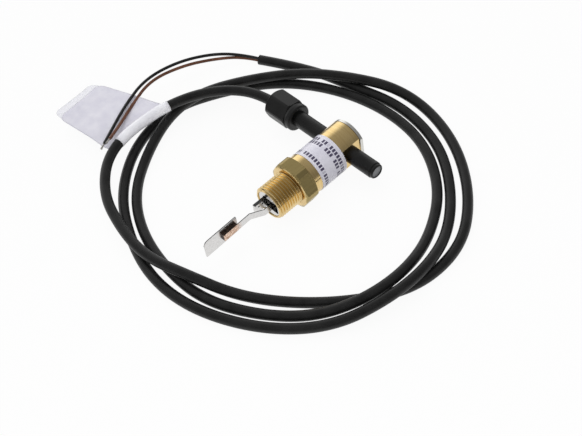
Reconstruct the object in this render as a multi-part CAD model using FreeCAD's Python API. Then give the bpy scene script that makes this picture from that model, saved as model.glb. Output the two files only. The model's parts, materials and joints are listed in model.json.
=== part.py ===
import FreeCAD, Part
import math
import os

V = FreeCAD.Vector
os.makedirs("parts", exist_ok=True)

# Paddle flow switch, in millimetres. +X is the axis of the brass body and points out of the
# process thread along the paddle. +Y is the axis of the reed tube and points to its free end.
# The origin is on the body's axis in the sealing face of the hexagon.
# The switch lies on a flat of its hexagon, so the floor is half the flats below the axis.

# ---- brass body ----
thread_radius = 20.955 / 2          # G 1/2, major radius
thread_length = 16.5
thread_undercut = 1.0
undercut_radius = 9.3
thread_chamfer = 1.1
hex_flats = 27.0
hex_length = 9.5
hex_corner_radius = 14.8            # the hexagon's corners are turned off to this radius
hex_face_radius = 12.8              # circle left by the chamfer on each end face
hex_chamfer_angle = 30.0            # between the chamfer and the end face
gasket_recess_radius = 10.9         # clears the thread, so a gasket ring passes over it
gasket_recess_depth = 0.3
cut_margin = 1.0                    # by which cutting tools run past the surface
barrel_radius = 12.7
barrel_length = 37.5                # from the hexagon to the rear face of the brass
rear_edge = 0.4
cavity_radius = 8.0
cavity_length = 48.0                # from the mouth to the cavity's end wall
flat_offset = 10.0                  # milled flat where the reed tube leaves
flat_length = 14.0

# ---- rear cover ----
cover_thickness = 2.0
cover_overhang = 0.6
cover_screw_radius = 1.25
cover_screw_head_radius = 2.3
cover_screw_head_height = 1.2
cover_screw_length = 6.0
cover_screw_pitch = 17.6
cover_screw_slot = 0.6
clamp_screw_radius = 2.0
clamp_tip_gap = 0.1
clamp_socket_flats = 2.0
clamp_socket_depth = 1.8

# ---- label ----
label_thickness = 0.15
label_bond = 0.02                   # glue under the paper
label_setback = 4.5                 # bare brass between the hexagon and the label
label_length = 19.0
label_wrap = 330.0                  # degrees, open at the bottom

# ---- slotted insert in the mouth ----
insert_radius = 8.6
insert_thickness = 3.3
insert_recess = 0.5
insert_edge = 0.3
slot_rest_side = 4.6                # from the axis to the edge on the rest side (-Y)
slot_flow_side = 7.0                # from the axis to the edge on the flow side (+Y)
slot_height = 7.8
slot_corner = 0.6

# ---- pivot bracket and pin ----
pivot_depth = 16.0                  # from the mouth plane to the pivot
bracket_sheet = 1.2
bracket_width = 8.4
bracket_fit = 0.05
cheek_gap = 0.3                     # between the lever and each cheek
cheek_tail = 3.6                    # of the cheeks behind the pivot
pin_radius = 1.0
pin_running_fit = 0.05

# ---- lever, magnets ----
lever_height = 6.2
lever_lean = 7.5                    # rest angle of the lever, degrees
lever_hub_radius = 3.0
lever_arm_width = 3.0
finger_width = 2.1
finger_reach = 7.7                  # how far the finger stands out of the mouth
finger_rest_gap = 0.3
finger_hole_radius = 0.6
finger_hole_depth = 1.2
magnet_radius = 2.5
magnet_length = 6.0
magnet_wall = 0.6
magnet_arm = 22.0                   # from the pivot to the magnet's inner face
socket_floor = 1.5
reset_magnet_radius = 2.0
reset_magnet_length = 2.4
reset_magnet_pocket = 1.8
reset_magnet_offset = 4.2

# ---- paddle ----
arm_thickness = 0.5
arm_width = 4.8
root_offset = 2.5                   # arm's centre line beside the axis, at the root
root_start = 2.0                    # ahead of the pivot
root_length = 19.3
flank_length = 9.4                  # of the lever's flank that carries the arm
crank_end = 29.3                    # where the slanting part ends
crank_offset = -1.6
outer_tilt = 1.6                    # degrees, of the outer part toward the flow side
outer_length = 19.7
rivet_radius = 0.6
rivet_head_radius = 1.1
rivet_head_height = 0.4
rivet_pitch = 4.0
rivet_depth = 2.2
spacer_length = 10.5
spacer_thickness = 1.7
blade_length = 24.6
blade_width = 12.0
blade_thickness = 0.5
blade_lead = 1.4                    # of the blade's inner edge behind the spacer
blade_corner = 3.2
blade_small_corner = 0.8

# ---- reed tube and what it holds ----
tube_radius = 5.0
tube_bore_radius = 3.6
tube_sliding_fit = 0.05
tube_near_end = -33.4               # gland end, measured from the body's axis
tube_far_end = 28.0
tube_rear_offset = 7.0              # from the rear face of the brass to the tube's axis
tube_edge = 0.3
plug_radius = 4.5
plug_length = 2.0
plug_spigot = 6.0
plug_chamfer = 0.5
plug_recess_radius = 3.5
plug_recess_depth = 1.2
resin_depth = 0.7
reed_radius = 1.3
reed_length = 14.0
lead_radius = 0.3
lead_length = 5.0
carrier_flat = -0.4                 # height of the carrier's flat
carrier_clearance = 0.05
carrier_start = -20.0
carrier_end = 15.0
inner_core_gap = 2.4                # between the two core centres inside the tube
inner_core_start = -14.0
lead_overlap = 1.0                  # of the leads past the ends of the inner cores

# ---- cable gland ----
flange_radius = 8.5
flange_length = 3.2
flange_round = 1.3
spigot_length = 8.0
gland_thread_radius = 6.0
gland_thread_length = 13.0
gland_bore_radius = 3.3
seal_seat_radius = 4.9
seal_seat_depth = 6.0
seal_seat_cone = 1.0
washer_radius = 8.1
washer_length = 1.5
washer_fit = 0.05
nut_flats = 16.8
nut_corner_radius = 9.35
nut_length = 16.2
nut_turn = 18.0                     # degrees about the tube's axis
nut_thread_fit = 0.05
nut_hole_radius = 3.4
nut_end_wall = 2.4
nut_cone_length = 2.0
nut_end_bevel = 1.4
nut_inner_bevel = 0.6
seal_nose_radius = 3.7
seal_cone_gap = 0.15

# ---- cable ----
cable_radius = 3.1
core_radius = 0.7
strand_radius = 0.45
strand_length = 5.0
tag_thickness = 0.35
tag_corner = 4.0
tag_wrap_point = 4                  # the wrap is centred on this point of the route

floor = -hex_flats / 2
mouth = thread_length
hex_rear = -hex_length
barrel_rear = hex_rear - barrel_length
tube_x = barrel_rear + tube_rear_offset
flange_rear = tube_near_end - flange_length
cavity_end = mouth - cavity_length
insert_front = mouth - insert_recess
insert_rear = insert_front - insert_thickness
pivot_x = mouth - pivot_depth
pivot = V(pivot_x, 0, 0)
finger_outer = -slot_rest_side + finger_rest_gap
cheek_inner = lever_height / 2 + cheek_gap
cheek_outer = cheek_inner + bracket_sheet

# Points of the cable's route as x, y and height above the floor. It leaves the gland, runs three
# turns round the switch and lies on the floor except where it crosses itself.
cable_route = [
    (-40, -41, 13.5), (-40, -64, 13.5), (-28, -84, 15), (-6, -98, 15.9), (23, -105, 14.3),
    (52, -102, 12.4), (73, -81, 10.7), (82, -53, 9.7), (85, -27, 9.7), (77.5, 0, 9.7),
    (67, 26, 4.2), (50, 52, 3.1), (27, 76, 3.1), (-2, 95, 3.1), (-37, 95, 3.1),
    (-66, 76, 3.1), (-89, 47, 3.1), (-101, 15, 3.1), (-99, -12, 7.4), (-86, -38, 9.8),
    (-70, -63, 9.7), (-45, -84, 9.7), (-18, -99, 9.7), (6, -101, 7.5), (32, -92, 3.1),
    (58, -73, 3.1), (74, -46, 3.1), (81, -14, 3.1), (80, 16, 3.1), (66, 46, 3.1),
    (48, 69, 5.5), (24, 83, 9.7), (-4, 86, 9.7), (-32, 77, 3.6), (-60, 59, 3.1),
    (-80, 29, 3.1), (-85, -5, 3.1), (-78, -41, 3.1), (-60, -73, 3.1), (-32, -94, 3.1),
    (-2, -108, 3.1), (32, -103, 3.1), (63, -80, 3.1), (82, -47, 3.1), (91, -14, 3.1),
    (87, 20, 3.1), (70, 55, 3.1), (46, 80, 5), (16, 92, 9.8), (-14, 93, 9.5),
    (-42, 82, 3.6), (-68, 60, 3.1), (-86, 33, 3.1), (-93, -2, 3.1), (-86, -36, 3.1),
    (-79, -68, 3.1), (-65, -97, 3.1),
]
black_route = [
    (-66.1, -94.8, 3.85), (-60.4, -106.5, 5), (-46, -117, 10.5), (-24, -125.5, 15),
    (0, -129, 16), (22, -121.5, 15.6), (40, -112.5, 15.2), (50, -107, 15.5),
]
brown_route = [
    (-66.1, -94.8, 2.35), (-60.4, -106.5, 3.2), (-45, -115, 8), (-25, -123, 12.2),
    (-2, -127.5, 14), (20, -119, 14.2), (36, -111, 15.2), (46, -106, 17.2),
]
# Far and near corners of the tag's flag, as x, y and height above the floor.
tag_corners = [(9, -104.5, 13.9), (44, -104.5, 13.2), (49, -156, 4.5), (15.5, -158, 5.2)]


def export(shape, node):
    shape.exportStep("parts/" + node + ".step")


def cyl(radius, start, length, direction):
    return Part.makeCylinder(radius, length, start, direction)


def along_x(radius, x, length, y=0.0, z=0.0):
    return cyl(radius, V(x, y, z), length, V(1, 0, 0))


def along_y(radius, y, length, x=tube_x, z=0.0):
    return cyl(radius, V(x, y, z), length, V(0, 1, 0))


def block(x0, x1, y0, y1, z0, z1):
    return Part.makeBox(x1 - x0, y1 - y0, z1 - z0, V(x0, y0, z0))


def turned(profile):
    """Solid of revolution about the X axis from (x, radius) points."""
    points = [V(x, r, 0) for x, r in profile]
    face = Part.Face(Part.makePolygon(points + points[:1]))
    return face.revolve(V(0, 0, 0), V(1, 0, 0), 360)


def turned_y(profile):
    """Solid of revolution about the reed tube's axis from (y, radius) points."""
    points = [V(tube_x + r, y, 0) for y, r in profile]
    face = Part.Face(Part.makePolygon(points + points[:1]))
    return face.revolve(V(tube_x, 0, 0), V(0, 1, 0), 360)


def hexagon(flats, start, length, direction, turn=30.0):
    """Hexagonal prism from start; turn rotates it about its own axis."""
    radius = flats / math.sqrt(3)
    side = V(0, 0, 1)
    across = direction.cross(side)
    points = []
    for k in range(6):
        angle = math.radians(turn + 60 * k)
        points.append(start + side * (radius * math.cos(angle)) + across * (radius * math.sin(angle)))
    return Part.Face(Part.makePolygon(points + points[:1])).extrude(direction * length)


def extruded(points, height):
    """Plan outline from (x, y) points, centred on the plane of the body's axis."""
    corners = [V(x, y, -height / 2) for x, y in points]
    return Part.Face(Part.makePolygon(corners + corners[:1])).extrude(V(0, 0, height))


def route_points(route):
    return [V(x, y, floor + h) for x, y, h in route]


def route_edges(route):
    """Straight runs joined by tangent arcs; the arcs take nine tenths of the shorter run."""
    points = route_points(route)
    edges = []
    arcs = []
    here = points[0]
    for k in range(1, len(points) - 1):
        back = points[k - 1] - points[k]
        ahead = points[k + 1] - points[k]
        tangent = 0.45 * min(back.Length, ahead.Length)
        turn = math.pi - back.getAngle(ahead)
        radius = tangent / math.tan(turn / 2)
        back.normalize()
        ahead.normalize()
        start = points[k] + back * tangent
        end = points[k] + ahead * tangent
        middle = points[k] + (back + ahead).normalize() * (radius / math.cos(turn / 2) - radius)
        edges.append(Part.makeLine(here, start))
        arcs.append((len(edges), radius))
        edges.append(Part.Arc(start, middle, end).toShape())
        here = end
    edges.append(Part.makeLine(here, points[-1]))
    return edges, arcs


def swept(edges, radius):
    path = Part.Wire(edges)
    start = edges[0].firstVertex().Point
    direction = edges[0].tangentAt(edges[0].FirstParameter)
    ring = Part.Wire(Part.makeCircle(radius, start, direction))
    pipe = Part.BRepOffsetAPI.MakePipeShell(path)
    pipe.setTransitionMode(1)
    pipe.add(ring)
    pipe.build()
    pipe.makeSolid()
    return pipe.shape()


def slot_prism(x0, x1):
    slot = block(x0, x1, -slot_rest_side, slot_flow_side, -slot_height / 2, slot_height / 2)
    long_edges = [e for e in slot.Edges if abs(e.tangentAt(e.FirstParameter).x) > 0.9]
    return slot.makeFillet(slot_corner, long_edges)


def leaned(shape):
    """Turn from the lever's own straight position to its rest against the slot."""
    out = shape.copy()
    out.rotate(pivot, V(0, 0, 1), -lever_lean)
    return out


# ---- housing ----
def make_body():
    hexagon_block = hexagon(hex_flats, V(hex_rear, 0, 0), hex_length, V(1, 0, 0))
    chamfer = (hex_corner_radius - hex_face_radius) * math.tan(math.radians(hex_chamfer_angle))
    turned_hex = turned([
        (hex_rear, 0), (hex_rear, hex_face_radius), (hex_rear + chamfer, hex_corner_radius),
        (-chamfer, hex_corner_radius), (0, hex_face_radius), (0, 0),
    ])
    barrel = turned([
        (barrel_rear, 0), (barrel_rear, barrel_radius - rear_edge),
        (barrel_rear + rear_edge, barrel_radius), (hex_rear, barrel_radius), (hex_rear, 0),
    ])
    thread = turned([
        (0, 0), (0, undercut_radius), (thread_undercut - (thread_radius - undercut_radius) * 0.5,
         undercut_radius), (thread_undercut, thread_radius), (mouth - thread_chamfer, thread_radius),
        (mouth, thread_radius - thread_chamfer), (mouth, 0),
    ])
    recess = turned([
        (-gasket_recess_depth, undercut_radius), (-gasket_recess_depth, gasket_recess_radius),
        (0, gasket_recess_radius), (0, undercut_radius),
    ])
    solid = hexagon_block.common(turned_hex).cut(recess).fuse([barrel, thread]).removeSplitter()
    solid = solid.cut(along_x(cavity_radius, cavity_end, cavity_length))
    solid = solid.cut(along_x(insert_radius, insert_rear, mouth - insert_rear))
    solid = solid.cut(along_y(tube_radius + tube_sliding_fit, -2 * barrel_radius, 4 * barrel_radius))
    solid = solid.cut(block(barrel_rear - cut_margin, barrel_rear + flat_length, flat_offset,
                            2 * barrel_radius, -barrel_radius, barrel_radius))
    solid = solid.cut(along_x(reset_magnet_radius, cavity_end - reset_magnet_pocket,
                              reset_magnet_pocket, -reset_magnet_offset))
    solid = solid.cut(along_x(clamp_screw_radius, barrel_rear - cut_margin, tube_rear_offset))
    for side in (-1, 1):
        solid = solid.cut(along_x(cover_screw_radius, barrel_rear,
                                  cover_screw_length - cover_thickness, 0, side * cover_screw_pitch / 2))
    return solid


def make_end_cover():
    rear = barrel_rear - cover_thickness
    through = cover_thickness + 2 * cut_margin
    disc = turned([(rear, 0), (rear, barrel_radius - rear_edge), (rear + rear_edge, barrel_radius),
                   (barrel_rear, barrel_radius), (barrel_rear, 0)])
    disc = disc.cut(block(rear - cut_margin, barrel_rear + cut_margin, flat_offset + cover_overhang,
                          2 * barrel_radius, -barrel_radius, barrel_radius))
    disc = disc.cut(along_x(clamp_screw_radius, rear - cut_margin, through))
    for side in (-1, 1):
        z = side * cover_screw_pitch / 2
        disc = disc.cut(along_x(cover_screw_radius, rear - cut_margin, through, 0, z))
        disc = disc.cut(along_x(cover_screw_head_radius, rear, cover_screw_head_height, 0, z))
    return disc


def make_cover_screws():
    rear = barrel_rear - cover_thickness
    screws = []
    for side in (-1, 1):
        z = side * cover_screw_pitch / 2
        screw = along_x(cover_screw_radius, rear, cover_screw_length, 0, z)
        screw = screw.fuse(along_x(cover_screw_head_radius, rear, cover_screw_head_height, 0, z))
        groove = block(rear - cut_margin, rear + cover_screw_slot, -cover_screw_head_radius,
                       cover_screw_head_radius, z - cover_screw_slot / 2, z + cover_screw_slot / 2)
        screws.append(screw.removeSplitter().cut(groove))
    return Part.makeCompound(screws)


def make_clamp_screw():
    rear = barrel_rear - cover_thickness
    tip = tube_x - tube_radius - clamp_tip_gap
    screw = along_x(clamp_screw_radius, rear, tip - rear)
    return screw.cut(hexagon(clamp_socket_flats, V(rear, 0, 0), clamp_socket_depth, V(1, 0, 0)))


def make_label():
    front = hex_rear - label_setback
    inner_radius = barrel_radius + label_bond
    outer = along_x(inner_radius + label_thickness, front - label_length, label_length)
    sleeve = outer.cut(along_x(inner_radius, front - label_length, label_length))
    half_gap = math.radians((360 - label_wrap) / 2)
    reach = 2 * barrel_radius
    wedge = Part.Face(Part.makePolygon([
        V(front - label_length, 0, 0),
        V(front - label_length, -reach * math.sin(half_gap), -reach * math.cos(half_gap)),
        V(front - label_length, reach * math.sin(half_gap), -reach * math.cos(half_gap)),
        V(front - label_length, 0, 0),
    ])).extrude(V(label_length, 0, 0))
    return sleeve.cut(wedge)


def make_mouth_insert():
    disc = turned([
        (insert_rear, 0), (insert_rear, insert_radius), (insert_front - insert_edge, insert_radius),
        (insert_front, insert_radius - insert_edge), (insert_front, 0),
    ])
    return disc.cut(slot_prism(insert_rear - cut_margin, insert_front + cut_margin))


def make_pivot_bracket():
    flange = along_x(cavity_radius - bracket_fit, insert_rear - bracket_sheet, bracket_sheet)
    flange = flange.cut(slot_prism(insert_rear - 2 * bracket_sheet, insert_rear + cut_margin))
    cheeks = []
    for side in (-1, 1):
        z = sorted((side * cheek_inner, side * cheek_outer))
        cheek = block(pivot_x - cheek_tail, insert_rear - bracket_sheet, -bracket_width / 2,
                      bracket_width / 2, z[0], z[1])
        tail = [e for e in cheek.Edges if abs(e.tangentAt(e.FirstParameter).z) > 0.9
                and e.CenterOfMass.x < pivot_x]
        cheeks.append(cheek.makeFillet(bracket_width / 2 - 0.7, tail))
    bracket = flange.fuse(cheeks).removeSplitter()
    return bracket.cut(cyl(pin_radius, V(pivot_x, 0, -2 * cheek_outer), 4 * cheek_outer, V(0, 0, 1)))


def make_pivot_pin():
    return cyl(pin_radius, V(pivot_x, 0, -cheek_outer), 2 * cheek_outer, V(0, 0, 1))


def make_reset_magnet():
    return along_x(reset_magnet_radius, cavity_end - reset_magnet_pocket, reset_magnet_length,
                   -reset_magnet_offset)


# ---- paddle ----
magnet_inner = pivot_x - magnet_arm
magnet_outer = magnet_inner - magnet_length
root_x0 = pivot_x + root_start
root_x1 = root_x0 + root_length
root_face = root_offset - arm_thickness / 2
finger_inner = finger_outer + finger_width
flank_end = root_x0 + flank_length
tilt = math.radians(outer_tilt)


def make_lever():
    hub = cyl(lever_hub_radius, V(pivot_x, 0, -lever_height / 2), lever_height, V(0, 0, 1))
    arm = leaned(block(magnet_inner, pivot_x, -lever_arm_width / 2, lever_arm_width / 2,
                       -lever_height / 2, lever_height / 2))
    socket = leaned(along_x(magnet_radius + magnet_wall, magnet_outer, magnet_length + socket_floor))
    yoke = extruded([
        (pivot_x, -lever_hub_radius), (root_x0 + 1, finger_outer), (mouth + finger_reach, finger_outer),
        (mouth + finger_reach, finger_inner), (flank_end, finger_inner), (flank_end, root_face),
        (root_x0, root_face), (pivot_x, lever_hub_radius - 0.5),
    ], lever_height)
    lever = hub.fuse([arm, socket, yoke]).removeSplitter()
    lever = lever.cut(leaned(along_x(magnet_radius, magnet_outer - cut_margin,
                                   magnet_length + cut_margin)))
    lever = lever.cut(cyl(pin_radius + pin_running_fit, V(pivot_x, 0, -lever_height), 2 * lever_height,
                          V(0, 0, 1)))
    for x in rivet_places():
        lever = lever.cut(along_y(rivet_radius, root_face - rivet_depth, rivet_depth, x))
    for k in (1, 2):
        x = mouth + k * finger_reach / 3
        lever = lever.cut(along_y(finger_hole_radius, finger_inner - finger_hole_depth,
                                  finger_hole_depth, x, lever_height / 6))
    return lever


def make_switching_magnet():
    return leaned(along_x(magnet_radius, magnet_outer, magnet_length))


def rivet_places():
    middle = root_x0 + flank_length / 2
    return [middle - rivet_pitch / 2, middle + rivet_pitch / 2]


def arm_line():
    """Centre line of the arm in plan: root, bend, crank, outer end."""
    end = (crank_end + outer_length * math.cos(tilt), crank_offset + outer_length * math.sin(tilt))
    return [(root_x0, root_offset), (root_x1, root_offset), (crank_end, crank_offset), end]


def strip(line, thickness, width):
    """Bent strip of constant thickness with mitred corners."""
    half = thickness / 2
    left = []
    right = []
    for k, (x, y) in enumerate(line):
        before = line[max(k - 1, 0)]
        after = line[min(k + 1, len(line) - 1)]
        a = V(x - before[0], y - before[1], 0) if k else V(after[0] - x, after[1] - y, 0)
        b = V(after[0] - x, after[1] - y, 0) if k < len(line) - 1 else V(a)
        a.normalize()
        b.normalize()
        normal = V(-(a.y + b.y), a.x + b.x, 0).normalize()
        offset = normal * (half / normal.dot(V(-a.y, a.x, 0)))
        left.append((x + offset.x, y + offset.y))
        right.append((x - offset.x, y - offset.y))
    return extruded(left + right[::-1], width)


def outer_frame(shape):
    """Place a piece drawn along +X from the origin on the arm's outer part."""
    out = shape.copy()
    out.rotate(V(0, 0, 0), V(0, 0, 1), outer_tilt)
    out.translate(V(crank_end, crank_offset, 0))
    return out


def make_arm():
    arm = strip(arm_line(), arm_thickness, arm_width)
    for x in rivet_places():
        arm = arm.cut(along_y(rivet_radius, root_face - cut_margin,
                              arm_thickness + 2 * cut_margin, x))
    return arm


def make_arm_rivets():
    rivets = []
    for x in rivet_places():
        top = root_offset + arm_thickness / 2
        rivet = along_y(rivet_radius, root_face - rivet_depth, rivet_depth + arm_thickness, x)
        head = along_y(rivet_head_radius, top, rivet_head_height, x)
        rivets.append(rivet.fuse(head).removeSplitter())
    return Part.makeCompound(rivets)


def make_blade_spacer():
    start = outer_length - spacer_length
    return outer_frame(block(start, outer_length, -arm_thickness / 2 - spacer_thickness,
                             -arm_thickness / 2, -arm_width / 2, arm_width / 2))


def make_blade():
    start = outer_length - spacer_length - blade_lead
    rear = -arm_thickness / 2 - spacer_thickness
    blade = block(start, start + blade_length, rear - blade_thickness, rear,
                  -blade_width / 2, blade_width / 2)
    edges = [e for e in blade.Edges if abs(e.tangentAt(e.FirstParameter).y) > 0.9]
    tip = [e for e in edges if e.CenterOfMass.x > start + blade_length / 2]
    upper = [e for e in tip if e.CenterOfMass.z > 0]
    blade = blade.makeFillet(blade_corner, upper)
    edges = [e for e in blade.Edges if e.Curve.TypeId == "Part::GeomLine"
             and abs(e.tangentAt(e.FirstParameter).y) > 0.9]
    sharp = [e for e in edges if e.CenterOfMass.x < start + 0.01
             or (e.CenterOfMass.z < -blade_width / 2 + 0.01 and e.CenterOfMass.x > start)]
    return outer_frame(blade.makeFillet(blade_small_corner, sharp))


# ---- reed unit ----
def make_reed_tube():
    tube = turned_y([
        (tube_near_end, tube_bore_radius), (tube_near_end, tube_radius),
        (tube_far_end - tube_edge, tube_radius), (tube_far_end, tube_radius - tube_edge),
        (tube_far_end, tube_bore_radius),
    ])
    return tube


def make_tube_plug():
    end = tube_far_end + plug_length
    return turned_y([
        (tube_far_end - plug_spigot, 0), (tube_far_end - plug_spigot, tube_bore_radius),
        (tube_far_end, tube_bore_radius), (tube_far_end, plug_radius),
        (end - plug_chamfer, plug_radius), (end, plug_radius - plug_chamfer),
        (end, plug_recess_radius), (end - plug_recess_depth, plug_recess_radius),
        (end - plug_recess_depth, 0),
    ])


def make_resin_disc():
    end = tube_far_end + plug_length - plug_recess_depth
    return along_y(plug_recess_radius, end, resin_depth)


def make_reed_carrier():
    body = along_y(tube_bore_radius - carrier_clearance, carrier_start, carrier_end - carrier_start)
    top = block(tube_x - tube_radius, tube_x + tube_radius, carrier_start, carrier_end,
                carrier_flat, tube_radius)
    return body.cut(top)


reed_height = carrier_flat + reed_radius


def make_reed_switch():
    middle = along_y(reed_radius, -reed_length / 2, reed_length, tube_x, reed_height)
    ends = [e for e in middle.Edges if e.Closed]
    return middle.makeFillet(reed_radius * 0.6, ends)


def make_reed_leads():
    """A straight lead toward the gland, and one that turns back beside the glass."""
    half = reed_length / 2
    near = along_y(lead_radius, inner_core_start - lead_overlap,
                   -half - inner_core_start + lead_overlap, tube_x, reed_height)
    side = tube_x + inner_core_gap
    low = carrier_flat + lead_radius
    stub = along_y(lead_radius, half, lead_length, tube_x, reed_height)
    across = cyl(lead_radius, V(tube_x, half + lead_length, reed_height),
                 math.hypot(inner_core_gap, reed_height - low),
                 V(inner_core_gap, 0, low - reed_height))
    back = along_y(lead_radius, inner_core_start - lead_overlap,
                   half + lead_length - inner_core_start + lead_overlap, side, low)
    knees = [Part.makeSphere(lead_radius, V(tube_x, half + lead_length, reed_height)),
             Part.makeSphere(lead_radius, V(side, half + lead_length, low))]
    far = stub.fuse([across, back] + knees).removeSplitter()
    return Part.makeCompound([near, far])


def make_inner_cores():
    """The cable's two cores inside the tube, soldered to the leads."""
    low = carrier_flat + lead_radius
    start = cable_route[0][1]
    upper = along_y(core_radius, start, inner_core_start - start, tube_x, reed_height)
    lower = along_y(core_radius, start, inner_core_start - start, tube_x + inner_core_gap, low)
    carrier_top = block(tube_x - tube_radius, tube_x + tube_radius, carrier_start, carrier_end,
                        -tube_radius, carrier_flat)
    leads = make_reed_leads()
    bore = along_y(gland_bore_radius, start - cut_margin, inner_core_start - start + 2 * cut_margin)
    return Part.makeCompound([c.cut(carrier_top).cut(leads).common(bore) for c in (upper, lower)])


def make_gland_body():
    end = flange_rear - gland_thread_length
    solid = turned_y([
        (tube_near_end + spigot_length, gland_bore_radius), (tube_near_end + spigot_length,
         tube_bore_radius), (tube_near_end, tube_bore_radius), (tube_near_end, flange_radius),
        (flange_rear, flange_radius), (flange_rear, gland_thread_radius), (end, gland_thread_radius),
        (end, seal_seat_radius), (end + seal_seat_depth - seal_seat_cone, seal_seat_radius),
        (end + seal_seat_depth, gland_bore_radius),
    ])
    rim = [e for e in solid.Edges if e.Closed and abs(e.Curve.Radius - flange_radius) < 0.01
           and e.CenterOfMass.y > tube_near_end - 0.01]
    return solid.makeFillet(flange_round, rim)


def make_gland_washer():
    ring = along_y(washer_radius, flange_rear - washer_length, washer_length)
    bore = gland_thread_radius + washer_fit
    return ring.cut(along_y(bore, flange_rear - washer_length, washer_length))


def make_gland_nut():
    start = flange_rear - washer_length
    end = start - nut_length
    prism = hexagon(nut_flats, V(tube_x, end, 0), nut_length, V(0, 1, 0), nut_turn)
    envelope = turned_y([
        (end, 0), (end, nut_corner_radius - nut_end_bevel), (end + nut_end_bevel, nut_corner_radius),
        (start - nut_inner_bevel, nut_corner_radius), (start, nut_corner_radius - nut_inner_bevel),
        (start, 0),
    ])
    bore = turned_y([
        (start, 0), (start, gland_thread_radius + nut_thread_fit),
        (end + nut_end_wall + nut_cone_length, gland_thread_radius + nut_thread_fit),
        (end + nut_end_wall, nut_hole_radius), (end, nut_hole_radius), (end, 0),
    ])
    return prism.common(envelope).cut(bore)


def make_gland_seal():
    """Rubber bush on the cable, from its seat in the gland body to the cone in the nut."""
    seat = flange_rear - gland_thread_length + seal_seat_depth - seal_seat_cone
    cone_small = flange_rear - washer_length - nut_length + nut_end_wall
    cone_large_radius = gland_thread_radius + nut_thread_fit

    def cone_place(radius):
        share = (radius + seal_cone_gap - nut_hole_radius) / (cone_large_radius - nut_hole_radius)
        return cone_small + nut_cone_length * share

    nose = cone_place(seal_nose_radius)
    return turned_y([
        (seat, cable_radius), (seat, seal_seat_radius), (cone_place(seal_seat_radius),
         seal_seat_radius), (nose, seal_nose_radius), (nose, cable_radius),
    ])


# ---- cable ----
def make_cable():
    edges, arcs = route_edges(cable_route)
    print("cable smallest bend radius %.1f mm" % min(r for _, r in arcs))
    print("cable length %.0f mm" % sum(e.Length for e in edges))
    solid = swept(edges, cable_radius)
    section = math.pi * cable_radius ** 2
    print("cable volume / section x length %.4f" % (solid.Volume / section
                                                    / sum(e.Length for e in edges)))
    return solid.cut([swept(route_edges(r)[0], core_radius) for r in (black_route, brown_route)])


def make_core(route, name):
    edges, arcs = route_edges(route)
    print("%s smallest bend radius %.1f mm" % (name, min(r for _, r in arcs)))
    solid = swept(edges, core_radius)
    print("%s volume ratio %.4f" % (name, solid.Volume / (math.pi * core_radius ** 2)
                                    / sum(e.Length for e in edges)))
    return solid


def make_strands():
    ends = []
    for route in (black_route, brown_route):
        points = route_points(route)
        direction = (points[-1] - points[-2]).normalize()
        ends.append(cyl(strand_radius, points[-1], strand_length, direction))
    return Part.makeCompound(ends)


def make_cable_tag():
    """A sleeve round the cable with a flag folded out of it."""
    edges, arcs = route_edges(cable_route)
    first = arcs[int(tag_wrap_point) - 1][0]
    around = edges[first - 1:first + 2]
    sleeve = swept(around, cable_radius + tag_thickness)
    corners = route_points(tag_corners)
    down = (corners[1] - corners[0]).cross(corners[3] - corners[0]).normalize()
    outline = Part.makePolygon(corners + corners[:1])
    face = Part.makeFilledFace(outline.Edges)
    flag = face.extrude(down * tag_thickness)
    outer = sorted(flag.Edges, key=lambda e: e.CenterOfMass.y)
    rounded = [e for e in outer if e.Length < 2 * tag_thickness][:2]
    flag = flag.makeFillet(tag_corner, rounded)
    hole = swept(edges[first - 3:first + 4], cable_radius)
    return sleeve.fuse(flag).cut(hole)


housing = {
    "body": make_body(),
    "end_cover": make_end_cover(),
    "cover_screws": make_cover_screws(),
    "clamp_screw": make_clamp_screw(),
    "body_label": make_label(),
    "mouth_insert": make_mouth_insert(),
    "pivot_bracket": make_pivot_bracket(),
    "pivot_pin": make_pivot_pin(),
    "reset_magnet": make_reset_magnet(),
}
paddle = {
    "paddle_lever": make_lever(),
    "switching_magnet": make_switching_magnet(),
    "paddle_arm": make_arm(),
    "arm_rivets": make_arm_rivets(),
    "blade_spacer": make_blade_spacer(),
    "paddle_blade": make_blade(),
}
reed_unit = {
    "reed_tube": make_reed_tube(),
    "tube_end_plug": make_tube_plug(),
    "end_resin": make_resin_disc(),
    "reed_carrier": make_reed_carrier(),
    "reed_switch": make_reed_switch(),
    "reed_leads": make_reed_leads(),
    "inner_cores": make_inner_cores(),
    "gland_body": make_gland_body(),
    "gland_washer": make_gland_washer(),
    "gland_nut": make_gland_nut(),
    "gland_seal": make_gland_seal(),
}
cord = {
    "cable": make_cable(),
    "core_black": make_core(black_route, "black core"),
    "core_brown": make_core(brown_route, "brown core"),
    "core_strands": make_strands(),
    "cable_tag": make_cable_tag(),
}
for group in (housing, paddle, reed_unit, cord):
    for node, shape in group.items():
        if not shape.isValid() or shape.Volume <= 0:
            print("check", node, shape.isValid(), shape.Volume)
        export(shape, node)
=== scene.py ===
import bpy
import json
import math
import random
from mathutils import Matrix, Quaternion, Vector


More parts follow.
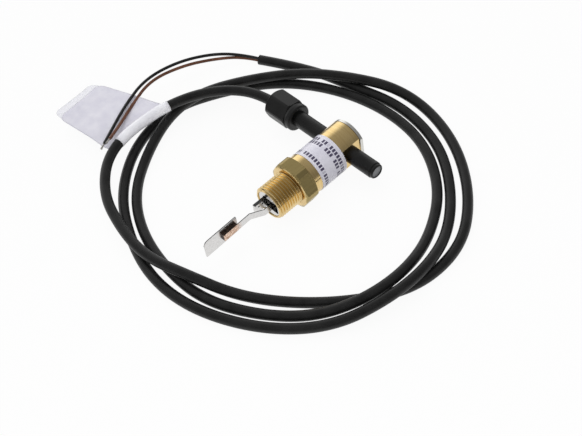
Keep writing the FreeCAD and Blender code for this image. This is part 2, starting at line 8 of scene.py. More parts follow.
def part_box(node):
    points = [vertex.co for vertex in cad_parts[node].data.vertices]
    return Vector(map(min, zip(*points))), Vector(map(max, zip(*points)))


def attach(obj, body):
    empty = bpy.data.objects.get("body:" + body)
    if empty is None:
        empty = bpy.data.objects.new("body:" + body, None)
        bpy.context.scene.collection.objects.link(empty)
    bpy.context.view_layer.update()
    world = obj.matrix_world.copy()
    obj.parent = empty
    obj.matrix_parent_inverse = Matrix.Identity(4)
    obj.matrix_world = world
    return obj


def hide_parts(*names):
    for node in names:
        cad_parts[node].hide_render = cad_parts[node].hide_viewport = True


# Paddle flow switch, in metres, in the CAD's frame: +X is the axis of the brass body and points
# out of the process thread, and +Y is the axis of the reed tube. The origin is in the front
# face of the hexagon.
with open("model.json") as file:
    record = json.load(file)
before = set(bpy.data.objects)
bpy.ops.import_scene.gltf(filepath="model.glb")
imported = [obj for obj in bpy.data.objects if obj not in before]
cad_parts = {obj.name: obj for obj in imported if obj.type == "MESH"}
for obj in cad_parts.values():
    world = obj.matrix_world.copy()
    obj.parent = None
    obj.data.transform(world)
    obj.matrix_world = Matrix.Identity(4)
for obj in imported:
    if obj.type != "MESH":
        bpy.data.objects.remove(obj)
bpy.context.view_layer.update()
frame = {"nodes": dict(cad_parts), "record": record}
nodes = frame["nodes"]
MM = 0.001
random.seed(7)

# ---- sizes and places from the frame ----
floor_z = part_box("body")[0].z
thread_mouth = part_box("body")[1].x
thread_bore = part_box("mouth_insert")[1].y
label_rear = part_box("body_label")[0].x
label_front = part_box("body_label")[1].x
label_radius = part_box("body_label")[1].z

# ---- sizes of the body's details ----
thread_major = 10.4775 * MM
thread_pitch = 1.814 * MM
thread_depth = 1.162 * MM
thread_from = 0.15 * MM             # from the hexagon to the first turn
thread_chamfer = 1.1 * MM
thread_undercut = 1.0 * MM          # plain groove between the hexagon and the CAD's thread cylinder
bore_chamfer = 0.3 * MM
sleeve_overlap = 0.05 * MM          # of the turns' roots over the body's drawn-in cylinder
mouth_overlap = 0.2 * MM            # of the turns past the end of that cylinder
hexagon_rear = -9.6 * MM            # just behind its rear face
hexagon_front = -0.35 * MM          # just behind the recess in its front face
hexagon_inner = 12.75 * MM          # just outside the barrel
arm_warm_from = 35.5 * MM           # the arm's colour turns to copper from here ...
arm_warm_to = 39.5 * MM             # ... to here, beside the welded spacer
never_warm_from = 90 * MM           # past the end of the paddle
never_warm_to = 91 * MM

# ---- sizes of the cable, its cores and its tag ----
cable_radius = 3.1 * MM
core_radius = 0.95 * MM
strand_radius = 0.15 * MM
strand_length = 5.0 * MM
strand_lay = 5.5 * MM               # along the core for one full twist
strand_root = 0.4 * MM              # of the strands inside the core's end
wrap_half_length = 17 * MM
wrap_gap = 0.25 * MM
flag_past_wrap = 5 * MM             # the flag's edge on the cable runs on past the wrap
flag_thickness = 0.3 * MM
film_thickness = 0.1 * MM
film_rise = -0.4 * MM               # the film lies under the paper
tag_wrap_point = 4                  # the wrap is centred beside this point of the cable's route

# Places as x, y and height above the floor, in millimetres: where the cable leaves its gland, the
# control points of the cable's and the cores' splines, and the far corners of the tag's paper and
# of its film.
cable_route = [
    (-40, -41, 13.5), (-40, -64, 13.5), (-28, -84, 15), (-6, -98, 15.9), (23, -105, 14.3),
    (52, -102, 12.4), (73, -81, 10.7), (82, -53, 9.7), (85, -27, 9.7), (77.5, 0, 9.7),
    (67, 26, 4.2), (50, 52, 3.1), (27, 76, 3.1), (-2, 95, 3.1), (-37, 95, 3.1),
    (-66, 76, 3.1), (-89, 47, 3.1), (-101, 15, 3.1), (-99, -12, 7.4), (-86, -38, 9.8),
    (-70, -63, 9.7), (-45, -84, 9.7), (-18, -99, 9.7), (6, -101, 7.5), (32, -92, 3.1),
    (58, -73, 3.1), (74, -46, 3.1), (81, -14, 3.1), (80, 16, 3.1), (66, 46, 3.1),
    (48, 69, 5.5), (24, 83, 9.7), (-4, 86, 9.7), (-32, 77, 3.6), (-60, 59, 3.1),
    (-80, 29, 3.1), (-85, -5, 3.1), (-78, -41, 3.1), (-60, -73, 3.1), (-32, -94, 3.1),
    (-2, -108, 3.1), (32, -103, 3.1), (63, -80, 3.1), (82, -47, 3.1), (91, -14, 3.1),
    (87, 20, 3.1), (70, 55, 3.1), (46, 80, 5), (16, 92, 9.8), (-14, 93, 9.5),
    (-42, 82, 3.6), (-68, 60, 3.1), (-86, 33, 3.1), (-93, -2, 3.1), (-86, -36, 3.1),
    (-79, -68, 3.1), (-65, -97, 3.1),
]
black_route = [
    (-66.1, -94.8, 3.85), (-60.4, -106.5, 5), (-46, -117, 10.5), (-24, -125.5, 15),
    (0, -129, 16), (22, -121.5, 15.6), (40, -112.5, 15.2), (50, -107, 15.5),
]
brown_route = [
    (-66.1, -94.8, 2.35), (-60.4, -106.5, 3.2), (-45, -115, 8), (-25, -123, 12.2),
    (-2, -127.5, 14), (20, -119, 14.2), (36, -111, 15.2), (46, -106, 17.2),
]
paper_far = [(20.1, -152.3, 12), (54.2, -148.3, 12)]
film_far = [(22.0, -157.6, 11.2), (53.4, -155.2, 11.2)]


# ---- camera ----
def make_camera():
    """Camera high on the paddle's side, aimed at a point on the floor and rolled a little."""
    target = Vector((0.0086, 0.0078, floor_z))
    azimuth = math.radians(144.36)
    elevation = math.radians(51.22)
    distance = 0.6834
    roll = Quaternion((0, 0, 1), math.radians(-10.6))
    away = Vector((math.sin(azimuth) * math.cos(elevation), -math.cos(azimuth) * math.cos(elevation),
                   math.sin(elevation)))
    data = bpy.data.cameras.new("camera")
    data.lens = 74.7
    data.sensor_width = 36.0
    camera = bpy.data.objects.new("camera", data)
    bpy.context.scene.collection.objects.link(camera)
    camera.location = target + away * distance
    camera.rotation_mode = "QUATERNION"
    camera.rotation_quaternion = away.to_track_quat("Z", "Y") @ roll
    bpy.context.scene.camera = camera


# ---- geometry helpers ----
def place(point):
    """A point given as x, y and height above the floor in millimetres, in the frame's metres."""
    return Vector((point[0] * MM, point[1] * MM, floor_z + point[2] * MM))


def assign(piece, material):
    piece.data.materials.clear()
    piece.data.materials.append(material)


def add_mesh(name, vertices, faces, body, material):
    """Smooth-shaded piece that rides on a body."""
    mesh = bpy.data.meshes.new(name)
    mesh.from_pydata([tuple(vertex) for vertex in vertices], [], faces)
    mesh.validate()
    mesh.update()
    mesh.shade_smooth()
    piece = bpy.data.objects.new(name, mesh)
    bpy.context.scene.collection.objects.link(piece)
    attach(piece, body)
    assign(piece, material)
    return piece


def nurbs(name, route, radius=0.0):
    """Smooth curve with a route's points as its control points: a round tube, or a bare line."""
    data = bpy.data.curves.new(name, "CURVE")
    data.dimensions = "3D"
    data.resolution_u = 12
    spline = data.splines.new("NURBS")
    spline.points.add(len(route) - 1)
    for point, knot in zip(route, spline.points):
        knot.co = (*place(point), 1.0)
        knot.radius = radius
    spline.order_u = 3
    spline.use_endpoint_u = True
    # The knots' own radius scales this depth, so the tube's radius is theirs.
    data.bevel_depth = 1.0 if radius > 0 else 0.0
    data.bevel_resolution = 8
    data.use_fill_caps = radius > 0
    curve = bpy.data.objects.new(name, data)
    bpy.context.scene.collection.objects.link(curve)
    return curve


def line_of(route):
    """Points along a route's spline."""
    curve = nurbs("route_line", route)
    mesh = bpy.data.meshes.new_from_object(curve)
    points = [vertex.co.copy() for vertex in mesh.vertices]
    bpy.data.objects.remove(curve)
    bpy.data.meshes.remove(mesh)
    return points


def reach(line, start, step, distance):
    """Number of the first of a line's points, one way from a start, that is a distance from it."""
    index = start
    while (line[index] - line[start]).length < distance:
        index += step
    return index


def point_along(line, share):
    """Point at a share of the way along a line's points."""
    position = share * (len(line) - 1)
    before = min(int(position), len(line) - 2)
    return line[before].lerp(line[before + 1], position - before)


def sideways(direction):
    """Two unit vectors square to a direction, the first of them level."""
    level = Vector((0, 0, 1)).cross(direction).normalized()
    return level, direction.cross(level).normalized()


def ring_angles(sides):
    return [2 * math.pi * side / sides for side in range(sides)]


def tube(points, radius_at, sides):
    """Vertices and faces of a closed tube along points; radius_at(share, angle) gives its radius."""
    vertices, faces = [], []
    last = len(points) - 1
    for index, point in enumerate(points):
        direction = (points[min(index + 1, last)] - points[max(index - 1, 0)]).normalized()
        level, up = sideways(direction)
        for angle in ring_angles(sides):
            radius = radius_at(index / last, angle)
            vertices.append(point + level * (radius * math.cos(angle)) + up * (radius * math.sin(angle)))
    for ring in range(0, last * sides, sides):
        for side in range(sides):
            beside = (side + 1) % sides
            faces.append((ring + side, ring + beside, ring + sides + beside, ring + sides + side))
    faces.append(tuple(range(sides))[::-1])
    faces.append(tuple(last * sides + side for side in range(sides)))
    return vertices, faces


def sheet_faces(across, along):
    """Faces of a closed thin sheet: top points first, then as many bottom points."""
    width = across + 1
    count = width * (along + 1)
    faces = []
    for row in range(along):
        for column in range(across):
            corner = row * width + column
            over = corner + width
            faces.append((corner, corner + 1, over + 1, over))
            faces.append((count + corner, count + over, count + over + 1, count + corner + 1))
    rim = list(range(width)) + [row * width + across for row in range(1, along + 1)]
    rim += [along * width + column for column in range(across - 1, -1, -1)]
    rim += [row * width for row in range(along - 1, 0, -1)]
    for index, corner in enumerate(rim):
        beside = rim[(index + 1) % len(rim)]
        faces.append((beside, corner, count + corner, count + beside))
    return faces


# ---- shader helpers, where an owner is a material or the world ----
def new_material(name, color, metallic=0.0, roughness=0.5):
    material = bpy.data.materials.new(name)
    material.use_nodes = True
    shader = shader_of(material)
    shader.inputs["Base Color"].default_value = (*color, 1)
    shader.inputs["Metallic"].default_value = metallic
    shader.inputs["Roughness"].default_value = roughness
    return material


def shader_of(material):
    return material.node_tree.nodes["Principled BSDF"]


def node(owner, kind, **values):
    """New shader node, with values for its inputs or its own settings."""
    made = owner.node_tree.nodes.new(kind)
    for key, value in values.items():
        if key in made.inputs.keys():
            made.inputs[key].default_value = value
        else:
            setattr(made, key, value)
    return made


def link(owner, source, source_socket, target, target_socket):
    owner.node_tree.links.new(source.outputs[source_socket], target.inputs[target_socket])


def coordinates(material, scale=(1, 1, 1)):
    """The object's own coordinates, times a scale along each axis."""
    position = node(material, "ShaderNodeTexCoord")
    mapping = node(material, "ShaderNodeMapping")
    mapping.inputs["Scale"].default_value = scale
    link(material, position, "Object", mapping, "Vector")
    return mapping


def noise(material, mapping, scale=1.0, detail=4.0, roughness=0.5):
    made = node(material, "ShaderNodeTexNoise", Scale=scale, Detail=detail, Roughness=roughness)
    link(material, mapping, "Vector", made, "Vector")
    return made


def map_range(owner, source, socket, start=0.0, end=1.0, low=0.0, high=1.0):
    """A value that runs from low to high as its source runs from start to end, and stays between."""
    made = node(owner, "ShaderNodeMapRange")
    made.inputs["From Min"].default_value = start
    made.inputs["From Max"].default_value = end
    made.inputs["To Min"].default_value = low
    made.inputs["To Max"].default_value = high
    link(owner, source, socket, made, "Value")
    return made


def color_ramp(owner, source, socket, stops, blend="LINEAR"):
    """Colours at places along a source's value."""
    ramp = node(owner, "ShaderNodeValToRGB")
    ramp.color_ramp.interpolation = blend
    ready = list(ramp.color_ramp.elements)
    for element, (position, color) in zip(ready, stops):
        element.position = position
        element.color = (*color, 1)
    for position, color in stops[len(ready):]:
        ramp.color_ramp.elements.new(position).color = (*color, 1)
    link(owner, source, socket, ramp, "Fac")
    return ramp


def mix_colors(material, source, socket, dark, light, low=0.3, high=0.7):
    """Dark up to a source's low value, light from its high value."""
    return color_ramp(material, source, socket, [(low, dark), (high, light)])


def blend_colors(material, factor, factor_socket, first, first_socket, second, second_socket):
    """The first colour where the factor is 0 and the second where it is 1."""
    made = node(material, "ShaderNodeMix", data_type="RGBA")
    link(material, factor, factor_socket, made, 0)
    link(material, first, first_socket, made, 6)
    link(material, second, second_socket, made, 7)
    return made


def color_by(material, source, socket="Color"):
    link(material, source, socket, shader_of(material), "Base Color")


def bump(material, height, strength, depth, edge=0.0):
    """Relief from a noise, over edges that look rounded by a small radius."""
    made = node(material, "ShaderNodeBump", Strength=strength, Distance=depth)
    link(material, height, "Fac", made, "Height")
    if edge > 0:
        rounding = node(material, "ShaderNodeBevel", Radius=edge)
        link(material, rounding, "Normal", made, "Normal")
    link(material, made, "Normal", shader_of(material), "Normal")


def vary_roughness(material, source, low, high):
    spread = map_range(material, source, "Fac", low=low, high=high)
    link(material, spread, "Result", shader_of(material), "Roughness")


# ---- materials ----
def turned_metal(name, dark, light, roughness, line_scale):
    """Metal with fine lathe lines round the body's axis."""
    material = new_material(name, light, metallic=1.0, roughness=roughness)
    lines = noise(material, coordinates(material, (line_scale, 40, 40)), detail=6.0, roughness=0.7)
    bands = noise(material, coordinates(material, (900, 60, 60)), roughness=0.6)
    color_by(material, mix_colors(material, bands, "Fac", dark, light))
    vary_roughness(material, bands, roughness - 0.05, roughness + 0.06)
    bump(material, lines, strength=0.2, depth=0.02 * MM, edge=0.12 * MM)
    return material


def drawn_brass():
    """The dull skin of drawn hexagon bar, with fine lines along the bar."""
    material = new_material("drawn_brass", (0.40, 0.31, 0.13), metallic=1.0, roughness=0.36)
    lines = noise(material, coordinates(material, (60, 4200, 4200)), detail=5.0, roughness=0.65)
    color_by(material, mix_colors(material, lines, "Fac", (0.31, 0.24, 0.095), (0.46, 0.36, 0.16)))
    vary_roughness(material, lines, low=0.30, high=0.44)
    bump(material, lines, strength=0.25, depth=0.02 * MM, edge=0.12 * MM)
    return material


def strip_steel(name, warm_from, warm_to):
    """Stainless strip with painted shade where it faces up or down; copper between two places along X.
    """
    material = new_material(name, (0.70, 0.69, 0.68), metallic=1.0, roughness=0.24)
    own = node(material, "ShaderNodeTexCoord")
    split = node(material, "ShaderNodeSeparateXYZ")
    link(material, own, "Object", split, "Vector")
    heat = map_range(material, split, "X", start=warm_from, end=warm_to)
    cloud = noise(material, coordinates(material), scale=900.0, detail=5.0, roughness=0.65)
    copper = mix_colors(material, cloud, "Fac", (0.30, 0.155, 0.09), (0.86, 0.66, 0.53),
                        low=0.38, high=0.62)
    clean = mix_colors(material, cloud, "Fac", (0.62, 0.61, 0.60), (0.76, 0.75, 0.74))
    warmed = blend_colors(material, heat, "Result", clean, "Color", copper, "Color")
    # The strip stands on edge, so its long edges face up or down. Faces that point up or down are
    # painted dark as shade.
    facing = node(material, "ShaderNodeSeparateXYZ")
    link(material, own, "Normal", facing, "Vector")
    level = node(material, "ShaderNodeMath", operation="ABSOLUTE")
    link(material, facing, "Z", level, 0)
    painted_shade_mask = mix_colors(material, level, "Value", (0, 0, 0), (1, 1, 1), low=0.6, high=0.75)
    # Dark grey of the painted shade on faces that point up or down.
    dull = mix_colors(material, cloud, "Fac", (0.05, 0.05, 0.05), (0.14, 0.14, 0.14))
    color_by(material, blend_colors(material, painted_shade_mask, "Color", warmed, 2, dull, "Color"), 2)
    bump(material, cloud, strength=0.3, depth=0.05 * MM)
    return material


def burnt_steel():
    """Steel blackened by a weld."""
    material = new_material("burnt_steel", (0.06, 0.045, 0.035), metallic=0.7, roughness=0.45)
    cloud = noise(material, coordinates(material), scale=1100.0, detail=5.0, roughness=0.65)
    color_by(material, mix_colors(material, cloud, "Fac", (0.018, 0.014, 0.012), (0.16, 0.10, 0.07),
                                  low=0.4, high=0.75))
    bump(material, cloud, strength=0.4, depth=0.08 * MM, edge=0.1 * MM)
    return material


def grained(name, dark, light, roughness, grain_scale, depth):
    """Moulded plastic, rubber or resin with a fine grain."""
    material = new_material(name, light, roughness=roughness)
    grain = noise(material, coordinates(material), grain_scale, detail=5.0, roughness=0.6)
    cloud = noise(material, coordinates(material), scale=120.0, detail=2.0)
    color_by(material, mix_colors(material, cloud, "Fac", dark, light))
    vary_roughness(material, cloud, roughness - 0.05, roughness + 0.07)
    bump(material, grain, strength=0.3, depth=depth, edge=0.2 * MM)
    shader_of(material).inputs["Specular IOR Level"].default_value = 0.32
    return material


def paper(name, dark=(0.66, 0.65, 0.74), light=(0.76, 0.75, 0.82)):
    """Paper with fine fibres and a faint cloudiness."""
    material = new_material(name, light)
    fibre = noise(material, coordinates(material), scale=2500.0, detail=6.0, roughness=0.6)
    cloud = noise(material, coordinates(material), scale=140.0, detail=3.0)
    color_by(material, mix_colors(material, cloud, "Fac", dark, light))
    bump(material, fibre, strength=0.2, depth=0.02 * MM)
    return material


def filmed_paper():
    """Paper under shiny film, brighter than the flag."""
    material = paper("wrap_paper", (0.80, 0.80, 0.86), (0.92, 0.92, 0.96))
    shader = shader_of(material)
    shader.inputs["Roughness"].default_value = 0.3
    shader.inputs["Coat Weight"].default_value = 0.6
    shader.inputs["Coat Roughness"].default_value = 0.12
    return material


def printed_label():
    """Label paper with rows of plain bars where the printing would be."""
    material = paper("printed_label")
    shader = shader_of(material)
    shader.inputs["Roughness"].default_value = 0.32
    ground = shader.inputs["Base Color"].links[0].from_node
    split = node(material, "ShaderNodeSeparateXYZ")
    link(material, node(material, "ShaderNodeTexCoord"), "Object", split, "Vector")
    gaps = label_gaps(material, split)
    bare = label_bare_rows(material, split)
    blank = node(material, "ShaderNodeMath", operation="MAXIMUM")
    link(material, gaps, "Color", blank, 0)
    link(material, bare, "Color", blank, 1)
    printing = node(material, "ShaderNodeMix", data_type="RGBA")
    printing.inputs[6].default_value = (0.07, 0.06, 0.11, 1)
    link(material, blank, "Value", printing, 0)
    link(material, ground, "Color", printing, 7)
    color_by(material, printing, 2)
    return material


def label_gaps(material, split):
    """Black on bars laid round the label like bricks, white between them and where one is left out."""
    turn = node(material, "ShaderNodeMath", operation="ARCTAN2")
    link(material, split, "Z", turn, 0)
    link(material, split, "Y", turn, 1)
    flat = node(material, "ShaderNodeCombineXYZ")
    link(material, turn, "Value", flat, "X")
    link(material, split, "X", flat, "Y")
    millimetres = node(material, "ShaderNodeMapping")
    millimetres.inputs["Scale"].default_value = (label_radius / MM, 1 / MM, 1)
    link(material, flat, "Vector", millimetres, "Vector")
    bars = node(material, "ShaderNodeTexBrick", Scale=1.0)
    bars.inputs["Color1"].default_value = (0, 0, 0, 1)
    bars.inputs["Color2"].default_value = (1, 1, 1, 1)
    bars.inputs["Mortar"].default_value = (1, 1, 1, 1)
    bars.inputs["Mortar Size"].default_value = 0.35
    bars.inputs["Mortar Smooth"].default_value = 0.1
    bars.inputs["Brick Width"].default_value = 2.1
    bars.inputs["Row Height"].default_value = 3.1
    link(material, millimetres, "Vector", bars, "Vector")
    return mix_colors(material, bars, "Color", (0, 0, 0), (1, 1, 1), low=0.78, high=0.85)


def label_bare_rows(material, split):
    """White along the label's length where it has no row of bars, black where it has one."""
    black, white = (0, 0, 0), (1, 1, 1)
    along = map_range(material, split, "X", start=label_rear, end=label_front)
    # Shares of the label's length, from its rear end, at which rows of bars begin and end.
    rows = [(0.0, white), (0.105, black), (0.432, white), (0.758, black), (0.921, white)]
    return color_ramp(material, along, "Result", rows, blend="CONSTANT")


def clear_film():
    """Clear plastic film of the tag, faintly rippled."""
    material = new_material("clear_film", (0.78, 0.78, 0.86), roughness=0.15)
    shader_of(material).inputs["Alpha"].default_value = 0.35
    ripple = noise(material, coordinates(material), scale=700.0, detail=3.0)
    vary_roughness(material, ripple, low=0.08, high=0.2)
    bump(material, ripple, strength=0.15, depth=0.05 * MM)
    return material


def tube_glass():
    """Glass of the reed switch."""
    material = new_material("glass", (0.85, 0.92, 0.9), roughness=0.05)
    shader_of(material).inputs["Transmission Weight"].default_value = 0.9
    return material


def make_materials():
    """All materials, by name."""
    fine, coarse, faint = 0.02 * MM, 0.04 * MM, 0.01 * MM
    # Metals take a dark and a light colour, a roughness and the scale of their lines. Mouldings
    # take the same with the scale of their grain, and the grain's depth.
    made = [
        turned_metal("brass", (0.68, 0.49, 0.21), (0.80, 0.61, 0.30), 0.19, 9000),
        turned_metal("stainless", (0.62, 0.61, 0.60), (0.76, 0.76, 0.75), 0.20, 5000),
        turned_metal("plated_steel", (0.62, 0.61, 0.58), (0.75, 0.74, 0.70), 0.26, 9000),
        turned_metal("magnet", (0.20, 0.20, 0.21), (0.32, 0.32, 0.33), 0.35, 3000),
        turned_metal("lead_wire", (0.55, 0.52, 0.46), (0.75, 0.73, 0.69), 0.3, 3000),
        grained("black_plastic", (0.004, 0.004, 0.004), (0.009, 0.009, 0.009), 0.36, 9000, fine),
        grained("cable_sheath", (0.006, 0.006, 0.006), (0.012, 0.012, 0.012), 0.40, 5000, fine),
        grained("seal_rubber", (0.02, 0.02, 0.02), (0.04, 0.04, 0.04), 0.6, 8000, fine),
        grained("grey_resin", (0.14, 0.145, 0.15), (0.30, 0.31, 0.32), 0.5, 4000, coarse),
        grained("core_insulation", (0.008, 0.008, 0.008), (0.016, 0.016, 0.016), 0.38, 6000, faint),
        grained("core_insulation_brown", (0.10, 0.038, 0.020), (0.16, 0.066, 0.037), 0.38, 6000, faint),
        drawn_brass(),
        burnt_steel(),
        strip_steel("arm_steel", arm_warm_from, arm_warm_to),
        strip_steel("blade_steel", never_warm_from, never_warm_to),
        paper("label_paper"),
        filmed_paper(),
        printed_label(),
        clear_film(),
        tube_glass(),
    ]
    # A name that is taken gets a number after a dot.
    return {material.name.split(".")[0]: material for material in made}


def dress_nodes(materials):
    """Every CAD node in its slot's material, and a few of them in one of their own."""
    for entry in frame["record"]["subparts"]:
        assign(nodes[entry["node"]], materials[entry["material_slot"]])
    assign(nodes["blade_spacer"], materials["burnt_steel"])
    assign(nodes["paddle_arm"], materials["arm_steel"])
    assign(nodes["paddle_blade"], materials["blade_steel"])
    assign(nodes["paddle_lever"], materials["blade_steel"])
    assign(nodes["body_label"], materials["printed_label"])


# ---- body and thread ----
def make_body(materials):
    """The body, with its thread cylinder drawn in under the roots of the turns."""
    mesh = nodes["body"].data.copy()
    body = bpy.data.objects.new("brass_body", mesh)
    bpy.context.scene.collection.objects.link(body)
    core = thread_major - thread_depth - sleeve_overlap
    for vertex in mesh.vertices:
        x, y, z = vertex.co
        radius = math.hypot(y, z)
        if x > thread_undercut and radius > core:
            vertex.co.y *= core / radius
            vertex.co.z *= core / radius
            vertex.co.x = min(x, thread_mouth - mouth_overlap)
    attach(body, "housing")
    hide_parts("body")
    assign(body, materials["brass"])
    mesh.materials.append(materials["drawn_brass"])
    for face in mesh.polygons:
        face.material_index = int(is_drawn(face))


def is_drawn(face):
    """Whether a face is on the outside of the hexagon, other than its turned front."""
    out = math.hypot(face.center.y, face.center.z)
    in_length = hexagon_rear < face.center.x < hexagon_front
    return in_length and out > hexagon_inner and face.normal.x < 0.9


def thread_radius_at(x, angle):
    """Pipe thread's profile, shallower where it starts beside the hexagon and chamfered at the mouth."""
    flat_share = 0.09               # of the profile's rise, for the crest and for the root
    roundness = 0.35                # 0 for straight flanks
    first_cut = 0.6                 # share of the full depth at the start
    phase = (x / thread_pitch - angle / (2 * math.pi)) % 1.0
    rise = abs(2 * phase - 1)
    flank = min(max((rise - flat_share) / (1 - 2 * flat_share), 0.0), 1.0)
    eased = flank * flank * (3 - 2 * flank)
    height = eased * roundness + flank * (1 - roundness)
    cut = min(1.0, first_cut + (x - thread_from) / thread_pitch)
    radius = thread_major - thread_depth * (1 - height) * cut
    chamfer = thread_major - max(0.0, x - (thread_mouth - thread_chamfer))
    return min(radius, chamfer)


def make_thread(materials):
    """Threaded sleeve over the body's drawn-in cylinder."""
    sides, rings_per_turn = 144, 14
    length = thread_mouth - thread_from
    rings = round(length / thread_pitch * rings_per_turn)
    outside = [thread_from + length * ring / rings for ring in range(rings + 1)]
    inside = [(thread_mouth, thread_bore + bore_chamfer), (thread_mouth - bore_chamfer, thread_bore),
              (thread_from, thread_bore)]
    vertices, faces = [], []
    for x in outside:
        for angle in ring_angles(sides):
            radius = thread_radius_at(x, angle)
            vertices.append((x, radius * math.cos(angle), radius * math.sin(angle)))
    for x, radius in inside:
        for angle in ring_angles(sides):
            vertices.append((x, radius * math.cos(angle), radius * math.sin(angle)))
    for ring in range(0, len(vertices), sides):
        after = (ring + sides) % len(vertices)
        for side in range(sides):
            beside = (side + 1) % sides
            faces.append((ring + side, after + side, after + beside, ring + beside))
    add_mesh("process_thread_turns", vertices, faces, "housing", materials["brass"])


# ---- cable, cores and strands ----
def make_cord(name, replaced, route, radius, slot, materials):
    """Round cord along a route, in place of a CAD node."""
    cord = nurbs(name, route, radius)
    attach(cord, "reed_unit")
    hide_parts(replaced)
    assign(cord, materials[slot])
    return cord


def make_strands(name, route, materials):
    """Six fine wires twisted round a straight one at the end of a core, and splayed a little."""
    outer_wires, steps = 6, 14
    start, before = place(route[-1]), place(route[-2])
    direction = (start - before).normalized()
    level, up = sideways(direction)
    vertices, faces = [], []
    for wire in range(outer_wires + 1):
        splay = random.uniform(0.6, 1.6)
        points = []
        for step in range(steps + 1):
            along = strand_length * step / steps
            angle = 2 * math.pi * (wire / outer_wires + along / strand_lay)
            out = 2 * strand_radius * (1 + splay * (step / steps) ** 3)
            # The last wire is the straight one.
            if wire == outer_wires:
                out = 0.0
            points.append(start + direction * (along - strand_root)
                          + level * (out * math.cos(angle)) + up * (out * math.sin(angle)))
        more, more_faces = tube(points, lambda share, angle: strand_radius, sides=8)
        first = len(vertices)
        vertices += more
        faces += [tuple(first + index for index in face) for face in more_faces]
    strands = add_mesh(name, vertices, faces, "reed_unit", materials["lead_wire"])
    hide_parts("core_strands")
    return strands


# ---- tag ----
def make_tag(materials):
    """Paper tag on the cable: a wrap round the sheath, a flag, and clear film under the flag."""
    line = line_of(cable_route)
    wrap_centre = place(cable_route[tag_wrap_point])
    middle = min(range(len(line)), key=lambda index: (line[index] - wrap_centre).length)
    first = reach(line, middle, -1, wrap_half_length)
    last = reach(line, middle, 1, wrap_half_length)
    vertices, faces = tube(line[first:last + 1], wrap_radius, sides=48)
    wrap = add_mesh("tag_wrap", vertices, faces, "reed_unit", materials["wrap_paper"])
    near = line[first:reach(line, last, 1, flag_past_wrap) + 1]
    flag = make_flag("tag_flag", near, paper_far, flag_thickness, 0.0,
                     materials["label_paper"])
    film = make_flag("tag_film", near, film_far, film_thickness, film_rise,
                     materials["clear_film"])
    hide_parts("cable_tag")
    return wrap, flag, film


def wrap_radius(share, angle):
    """The wrap's radius, with soft creases that fade at its ends and a few sharp folds."""
    crease_height = 0.09 * MM
    fold_height = 0.12 * MM
    crease = crease_height * math.sin(3 * angle + 9 * share) * math.sin(math.pi * share)
    fold = fold_height * max(0.0, math.sin(2 * angle + 31 * share)) ** 8
    return cable_radius + wrap_gap + crease + fold


def make_flag(name, near, far_corners, thickness, rise, material):
    """Sheet from the cable's line to a far edge with rounded corners."""
    across, along = 32, 40
    far_left, far_right = place(far_corners[0]), place(far_corners[1])
    half = Vector((0, 0, thickness / 2))
    top, bottom = [], []
    for row in range(along + 1):
        out = row / along
        inset = corner_inset(out)
        for column in range(across + 1):
            side = inset + (1 - 2 * inset) * column / across
            point = point_along(near, side).lerp(far_left.lerp(far_right, side), out)
            point.z += flag_relief(side, out) + rise
            top.append(point + half)
            bottom.append(point - half)
    return add_mesh(name, top + bottom, sheet_faces(across, along), "reed_unit", material)


def corner_inset(out):
    """How far the rounding of the far corners draws the sides in, as a share of the flag's width."""
    rounding = 0.1
    into = out - 1 + rounding
    if into <= 0:
        return 0.0
    return rounding * (1 - math.sqrt(1 - (into / rounding) ** 2))


def flag_relief(side, out):
    """Height of a slight wave that grows outward, less a hollow near the cable, deeper at one side."""
    wave_height = 0.3 * MM
    hollow_depth = 1.6 * MM
    hollow_place, hollow_spread = 0.2, 0.12
    wave = wave_height * math.sin(5 * side + 3 * out) * out
    away = (out - hollow_place) / hollow_spread
    hollow = hollow_depth * math.exp(-away ** 2) * (0.3 + 0.7 * side)
    return wave - hollow


# ---- stage ----
def floor_material():
    """White that glows for the camera and for reflections, and keeps a faint shadow."""
    material = bpy.data.materials.new("floor_white")
    material.use_nodes = True
    material.node_tree.nodes.clear()
    glow_share = 0.93
    output = node(material, "ShaderNodeOutputMaterial")
    diffuse = node(material, "ShaderNodeBsdfDiffuse", Color=(0.86, 0.86, 0.86, 1))
    glow = node(material, "ShaderNodeEmission", Color=(1, 1, 1, 1), Strength=1.0)
    path = node(material, "ShaderNodeLightPath")
    seen = node(material, "ShaderNodeMath", operation="MAXIMUM")
    share = node(material, "ShaderNodeMath", operation="MULTIPLY")
    share.inputs[1].default_value = glow_share
    mix = node(material, "ShaderNodeMixShader")
    link(material, path, "Is Camera Ray", seen, 0)
    link(material, path, "Is Glossy Ray", seen, 1)
    link(material, seen, 0, share, 0)
    link(material, share, 0, mix, 0)
    link(material, diffuse, 0, mix, 1)
    link(material, glow, 0, mix, 2)
    link(material, mix, 0, output, 0)
    return material


def make_stage():
    """Level floor under the switch."""
    half_side = 3.0
    corners = [(-half_side, -half_side), (half_side, -half_side), (half_side, half_side),
               (-half_side, half_side)]
    mesh = bpy.data.meshes.new("floor")
    mesh.from_pydata([(x, y, floor_z) for x, y in corners], [], [(0, 1, 2, 3)])
    mesh.materials.append(floor_material())
    floor = bpy.data.objects.new("floor", mesh)
    bpy.context.scene.collection.objects.link(floor)


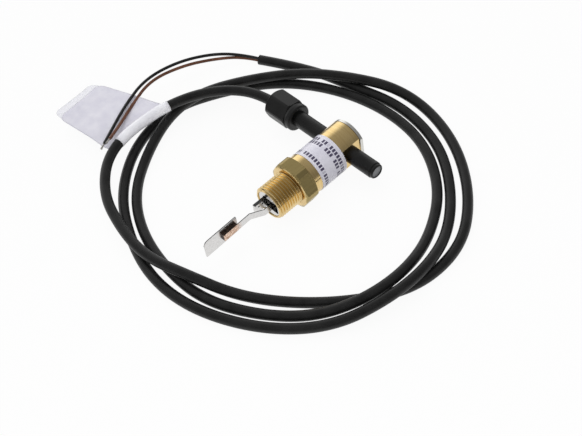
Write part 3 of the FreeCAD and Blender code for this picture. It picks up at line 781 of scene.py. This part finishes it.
def make_world():
    """White where the camera sees it; elsewhere a bright low side and a dim top and back."""
    bright_side = (-0.30, -0.93, -0.20)
    shades = [(0.0, 0.20), (0.125, 0.22), (0.25, 0.32), (0.71, 0.42), (0.79, 0.8), (0.87, 1.3)]
    stops = [(position, (shade, shade, shade)) for position, shade in shades]
    stops.append((1.0, (1.5, 1.5, 1.48)))
    world = bpy.data.worlds.new("studio")
    bpy.context.scene.world = world
    world.use_nodes = True
    world.node_tree.nodes.clear()
    output = node(world, "ShaderNodeOutputWorld")
    around = node(world, "ShaderNodeBackground")
    white = node(world, "ShaderNodeBackground", Color=(1, 1, 1, 1))
    path = node(world, "ShaderNodeLightPath")
    mix = node(world, "ShaderNodeMixShader")
    direction = node(world, "ShaderNodeTexCoord")
    toward = node(world, "ShaderNodeVectorMath", operation="DOT_PRODUCT")
    toward.inputs[1].default_value = bright_side
    link(world, direction, "Generated", toward, 0)
    spread = map_range(world, toward, "Value", start=-1.0)
    ramp = color_ramp(world, spread, "Result", stops)
    link(world, ramp, "Color", around, "Color")
    link(world, path, "Is Camera Ray", mix, 0)
    link(world, around, 0, mix, 1)
    link(world, white, 0, mix, 2)
    link(world, mix, 0, output, 0)


def area_light(name, location, size, power):
    """Soft light on the scene's middle that leaves no square of its own in the metal."""
    data = bpy.data.lights.new(name, "AREA")
    data.size = size
    data.energy = power
    lamp = bpy.data.objects.new(name, data)
    bpy.context.scene.collection.objects.link(lamp)
    lamp.location = location
    lamp.visible_glossy = False
    lamp.rotation_mode = "QUATERNION"
    lamp.rotation_quaternion = Vector(location).to_track_quat("Z", "Y")


# ---- the scene ----
make_camera()
bpy.context.scene.view_settings.view_transform = "Standard"
materials = make_materials()
dress_nodes(materials)
cable = make_cord("cable_sheath_tube", "cable", cable_route, cable_radius, "cable_sheath", materials)
black_core = make_cord("core_black_wire", "core_black", black_route, core_radius,
                       "core_insulation", materials)
brown_core = make_cord("core_brown_wire", "core_brown", brown_route, core_radius,
                       "core_insulation_brown", materials)
black_strands = make_strands("black_core_strands", black_route, materials)
brown_strands = make_strands("brown_core_strands", brown_route, materials)
tag = make_tag(materials)
make_body(materials)
make_thread(materials)

make_stage()
make_world()
area_light("overhead", (0.0, -0.25, 1.0), size=1.2, power=5.0)
area_light("front", (0.5, 0.7, 0.8), size=0.8, power=5.0)

bpy.context.view_layer.update()
